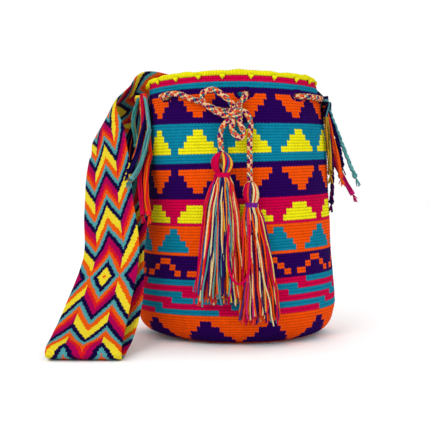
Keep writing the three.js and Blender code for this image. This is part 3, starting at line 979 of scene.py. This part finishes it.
TASSELS = {
    "left": {
        "neck": (-19, -119.5, 188.8),
        "head_top": (-20, -119.5, 212.5),
        "head_half": (9.4, 8.2),
        "head_yarns": 32,
        "open_front": 0.2,
        "tie_half": (7.4, 6.8),
        "skirt": [
            ((-19, -119.5, 187), (7, 6)), ((-19.5, -120, 178), (11, 7.5)), ((-20.5, -121.5, 150), (16, 8)),
            ((-21.5, -124, 110), (20, 9)), ((-22.5, -126.5, 75), (23.5, 9)), ((-22.5, -128, 47), (26, 9)),
        ],
        "yarns": 124,
        "ragged": 0.12,
        "colours": [
            CORD_RED, MAGENTA, ORANGE, "5a2a7c", CREAM, "2c1460", GREY_TEAL, CREAM, BLUE,
            "f4d84c", "ff8a1c", CORD_RED, MAGENTA,
        ],
        "head_colours": [MAGENTA, CORD_RED, MAGENTA, "ff8a1c", "fcc83c", BLUE],
        "tie": MAGENTA,
        "tie_slot": "fringe_magenta",
    },
    "right": {
        "neck": (12.5, -118.5, 156),
        "head_top": (11, -118, 180.5),
        "head_half": (6.2, 6.6),
        "head_yarns": 25,
        "open_front": 0.1,
        "tie_half": (5.9, 5.9),
        "skirt": [
            ((12.5, -118.5, 154), (7, 6)), ((14, -120, 144), (10, 7)), ((17, -122.5, 115), (13, 8)),
            ((19.5, -125.5, 75), (17, 9)), ((20.5, -128, 45), (19.5, 8.5)), ((21, -127.5, 26), (20.5, 8)),
        ],
        "yarns": 104,
        "ragged": 0.16,
        "colours": [
            MAGENTA, CORD_RED, "d8207c", ORANGE, CREAM, "2c1460", CORD_RED, "f0cc70", GREY_TEAL,
            MAGENTA, ORANGE, "5a2a7c",
        ],
        "head_colours": [MAGENTA, CREAM, "5a2a7c", "d8207c", CORD_RED, CREAM],
        "tie": "7a1c96",
        "tie_slot": "tie_yarn",
    },
}
YARN_RADIUS = 0.95


def skirt_frame(sections, depth):
    """Centre and half-sizes of the skirt at a depth from 0, its top, to 1."""
    flat = [tuple(centre) + tuple(half) for centre, half in sections]
    levels = np.linspace(0, 1, len(flat))
    return np.array([np.interp(depth, levels, [row[k] for row in flat]) for k in range(5)])


def colour_across(colours, share, generator):
    """One of the colours, which run from left to right, near the given share of the way across."""
    place = round(share * (len(colours) - 1) + generator.gauss(0, 1 + len(colours) / 8))
    return colours[place % len(colours)]


def add_skirt(side, tassel, generator):
    """Yarns that fall from the winding, each wavy in its own way and cut where it happens to end."""
    skirt = Bundle(f"tassel_yarns_{side}")
    for k in range(tassel["yarns"]):
        outer = k % 3 != 0
        at = generator.uniform(0, 2 * math.pi)
        spread = generator.uniform(0.86, 1.1) if outer else generator.uniform(0.2, 0.75)
        reach = 1 - generator.uniform(0, tassel["ragged"]) * (1 if generator.random() < 0.8 else 1.8)
        sway, phase = generator.uniform(0.7, 2.6), generator.uniform(0, 6.28)
        kink, drift = generator.uniform(0.1, 0.9), generator.uniform(-0.6, 0.6)
        route = []
        for depth in np.linspace(0, reach, 28):
            x, y, z, a, b = skirt_frame(tassel["skirt"], depth)
            turn = at + drift * depth
            grow = spread * (1 if outer else min(1, 0.4 + depth))
            wobble = sway * math.sin(7 * depth + phase) + kink * math.sin(23 * depth + 2 * phase)
            wobble *= min(1, 3 * depth)
            px = x + a * grow * math.cos(turn) + wobble * 0.9
            py = y + b * grow * math.sin(turn) + wobble * 0.25
            route.append((px, py, z))
        colour = colour_across(tassel["colours"], (1 + math.cos(at)) / 2, generator)
        skirt.tube(route, YARN_RADIUS * generator.uniform(0.85, 1.1), colour, 5)
    return ride_root(skirt.finish(), "tassel_yarn", f"tassel_skirt_{side}")


def add_head(side, tassel, generator):
    """Loops of yarn that rise from the neck, bow outwards, and close over the cord's end."""
    head = Bundle(f"tassel_loops_{side}")
    neck, top = np.array(tassel["neck"]), np.array(tassel["head_top"])
    wide, deep = tassel["head_half"]
    count = tassel["head_yarns"]
    for k in range(count):
        at = 2 * math.pi * k / count + generator.uniform(-0.08, 0.08)
        if abs(at - 1.5 * math.pi) < tassel["open_front"]:
            continue
        colour = colour_across(tassel["head_colours"], (1 + math.cos(at)) / 2, generator)
        lean_over = generator.uniform(0.1, 0.5)
        route = []
        for t in np.linspace(0.02, 0.98, 15):
            swell = math.sin(math.pi * t) ** 0.62
            middle = neck + (top - neck) * t
            turn = at + lean_over * (t - 0.5)
            x = middle[0] + (wide * swell + 1.6) * math.cos(turn)
            y = middle[1] + (deep * swell + 1.4) * math.sin(turn)
            route.append((x, y, middle[2]))
        head.tube(route, 1.2, colour, 6)
    return ride_root(head.finish(), "tassel_yarn", f"tassel_head_{side}")


def add_tie(side, tassel):
    """The winding round the tassel's neck."""
    tie = Bundle(f"tassel_winding_{side}")
    x, y, z = tassel["neck"]
    wide, deep = tassel["tie_half"]
    route = []
    for k in np.linspace(0, 1, 90):
        turn = 2 * math.pi * 4.2 * k
        route.append((x + wide * math.cos(turn), y + deep * math.sin(turn), z + 2.2 - 4.4 * k))
    tie.tube(route, 1.1, tassel["tie"], 7)
    return ride_root(tie.finish(), tassel["tie_slot"], f"tassel_tie_{side}")


LOOP_YARN = 2.6
YARN_LOOP = [
    (-12.5, -133.5, 136), (-13.5, -137.5, 112), (-12.5, -140, 92), (-8.5, -141, 78.5),
    (-1.5, -141, 73), (5.5, -140.5, 78), (9.5, -140, 92), (10, -138, 112), (9.5, -135.5, 136),
]


def add_tassels():
    """Both tassels and the yarn that hangs between them. Returns each tassel's pieces by its side."""
    pieces = {}
    generator = random.Random(SEED + 3)
    for side, tassel in TASSELS.items():
        skirt = add_skirt(side, tassel, generator)
        head = add_head(side, tassel, generator)
        pieces[side] = [skirt, head, add_tie(side, tassel)]
    loop = Bundle("tassel_loop_yarn")
    path = even_path(YARN_LOOP, 2.0)
    loop.tube(path, LOOP_YARN / 2, MAGENTA, 7)
    piece = ride_root(loop.finish(), "fringe_magenta", "tassel_yarn_loop")
    return pieces


# -------------------- fringe tails

TAILS = {
    "tail_left_teal_loop": (
        "fringe_teal", "loose", ["3c9490", "5fb0ac", "7c8058", "3c9490"],
        [(-119, -19, 266), (-121, -24, 256), (-121, -28, 243), (-118.5, -31, 229), (-118, -33, 218)],
    ),
    "tail_left_amber": (
        "fringe_yellow", "loose", ["fcc030", "ff6a10", "8a8058", "ff6a10"],
        [(-112, -25, 266), (-110.5, -30, 252), (-111, -36, 238), (-114, -44, 222), (-119, -52, 205)],
    ),
    "tail_left_navy": (
        "fringe_navy", "loose", ["180a48", "12063a", "241060"],
        [(-105, -29, 266.5), (-107, -37, 250), (-112, -48, 227), (-115, -61, 210), (-124, -74, 190)],
    ),
    "tail_left_teal": (
        "fringe_teal", "loose", ["5fa8aa", "6cb4b4", "4c9498"],
        [(-102, -46, 240), (-105, -53, 224), (-108, -59, 210), (-112.5, -68, 195), (-121, -78, 182)],
    ),
    "tail_left_red": (
        "fringe_red", "loose", ["e01434", "d00048", "e01434", "c80050"],
        [(-109, -43, 219), (-111, -50, 205), (-112, -60, 189), (-110, -74, 165), (-107, -86, 143)],
    ),
    "tail_left_orange": (
        "fringe_orange", "loose", ["ff4c10", "f4202e", "ff6a10"],
        [(-101, -46, 212), (-103.5, -58, 198), (-104.5, -69, 181), (-103, -79.5, 160), (-100, -87, 143)],
    ),
    "tail_right_teal": (
        "fringe_teal", "braid", ["6cb4b4", "58a0a4", "6cb4b4"],
        [(107.5, -1, 263), (114.5, -1, 245), (125.5, -2, 217), (132.5, -3, 199), (139.5, -4, 183)],
    ),
    "tail_right_navy": (
        "fringe_navy", "braid", ["180a48", "12063a", "241060"],
        [(104.5, -8, 262), (110, -8.5, 248), (116, -9, 230), (120.5, -9.5, 210), (122.5, -9.5, 196)],
    ),
    "tail_right_orange": (
        "fringe_orange", "loose", ["ff6a10", "f2402c", "ff5a10"],
        [(101.5, -15.5, 263), (107, -16.5, 242), (112.5, -17, 220), (117, -17, 202), (120.5, -16.5, 183)],
    ),
    "tail_right_magenta": (
        "fringe_magenta", "loose", ["c80060", "d8207c", "b00058"],
        [(109.5, 7, 247), (110.5, 6.5, 228), (115, 6, 204), (126, 5, 182), (137, 4, 163)],
    ),
    "tail_right_plum": (
        "fringe_plum", "braid", ["3a0a50", "1a0a3c", "5a0a48"],
        [(101, -22.5, 261), (104, -24, 242), (107.5, -24, 215), (109.5, -24, 184), (108.5, -24, 153)],
    ),
    "tail_right_yellow": (
        "fringe_yellow", "loose", ["c0ac2c", "6a5420", "d89828"],
        [(100.5, -30.5, 254), (103, -32, 235), (104.5, -32, 215), (106.5, -32, 187)],
    ),
}
TAIL = 5.0
HANK_YARNS = 9
FRAY_YARNS = 9
FRAY_LENGTH = 9.0
LEAD_YARNS = 5

# Yarns that lead from each binding to its tails: where they start, how far towards the tail's top they
# stay level, the least distance from the bag's axis there, and their yarns if not the tail's own.
LEADS = {
    "left": ((-113, -16, 276), 0.5, 106, None),
    "right": ((103, -10, 270), 0.7, 108, ["180a48", "12063a", "241060", "12063a", "4c9498"]),
}


def add_loose(bundle, path, width, colours, generator):
    """A hank of loose yarns with a slow twist: the first in the middle, the others round it."""
    one, two = frames_along(path)
    run = np.linspace(0, 1, len(path))
    for k in range(HANK_YARNS):
        out = width / 2 - 0.8 if k else 0
        start = 2 * math.pi * k / (HANK_YARNS - 1) + generator.uniform(-0.2, 0.2)
        turn = start + 1.6 * run + 0.3 * np.sin(9 * run + 5 * start)
        reach = out * (0.9 + 0.16 * np.sin(12 * run + 3 * start))
        across = np.cos(turn)[:, None] * one + np.sin(turn)[:, None] * two
        bundle.tube(path + across * reach[:, None], 0.95, colours[k % len(colours)], 6)


def add_fray(bundle, tip, heading, colours, generator):
    """Loose yarn ends that spread from a tail's tip."""
    for k in range(FRAY_YARNS):
        aside = np.array([generator.uniform(-1, 1) for _ in range(3)])
        direction = unit(heading + 0.45 * aside)
        sag = np.array([0, 0, -0.25])
        bits = np.linspace(0, 1, 6)[:, None]
        length = FRAY_LENGTH * generator.uniform(0.6, 1.0)
        route = tip + direction * bits * length + sag * bits**2 * length
        bundle.tube(route, 0.62, colours[k % len(colours)], 5)


def add_lead(bundle, side, path, colours):
    """Yarns that leave the strap's binding, arch over its neighbours and drop into the tail's top."""
    start, share, clear_radius, own_colours = LEADS[side]
    colours = own_colours or colours
    start = np.array(start, dtype=float)
    middle = start + (path[0] - start) * share
    middle[:2] *= max(1.0, clear_radius / math.hypot(middle[0], middle[1]))
    middle[2] = start[2]
    for k in range(LEAD_YARNS):
        turn = 2 * math.pi * k / LEAD_YARNS
        aside = 1.4 * np.array([math.cos(turn), math.sin(turn), 0])
        points = [start + aside, middle + aside, path[0] + aside, path[2] + aside]
        bundle.tube(even_path(points, 1.6), 0.9, colours[k % len(colours)], 6)


def add_tails():
    """Each tail with its knot, its frayed end and the yarns that join it to the binding."""
    generator = random.Random(SEED + 4)
    for node, (slot, make, colours, route) in TAILS.items():
        path = even_path(route, 1.6)
        tail = Bundle(node + "_yarns")
        if make == "braid":
            add_braid(tail, path, TAIL * 1.05, colours, pitch=15)
        else:
            add_loose(tail, path, TAIL * 1.2, colours, generator)
        heading = unit(path[-1] - path[-4])
        ends = Bundle(node + "_ends")
        knot = path[-3] + heading * np.linspace(-2.6, 2.6, 5)[:, None]
        ends.tube(knot, [2.0, 3.0, 3.4, 3.0, 2.0], colours[1], 8)
        add_fray(ends, path[-1], heading, colours, generator)
        add_lead(ends, "left" if "_left_" in node else "right", path, colours)
        loose = ride_root(ends.finish(), slot)
        piece = ride_root(tail.finish(), slot, node)


# -------------------- the whole bag

add_camera()
add_studio()
bpy.context.scene.view_settings.view_transform = "Standard"
add_drawstring(add_tassels())
add_bow_knot()
add_tails()
add_wall()
add_base()
add_edging()
add_picots()
add_eyelets()
add_strap()
add_bindings()
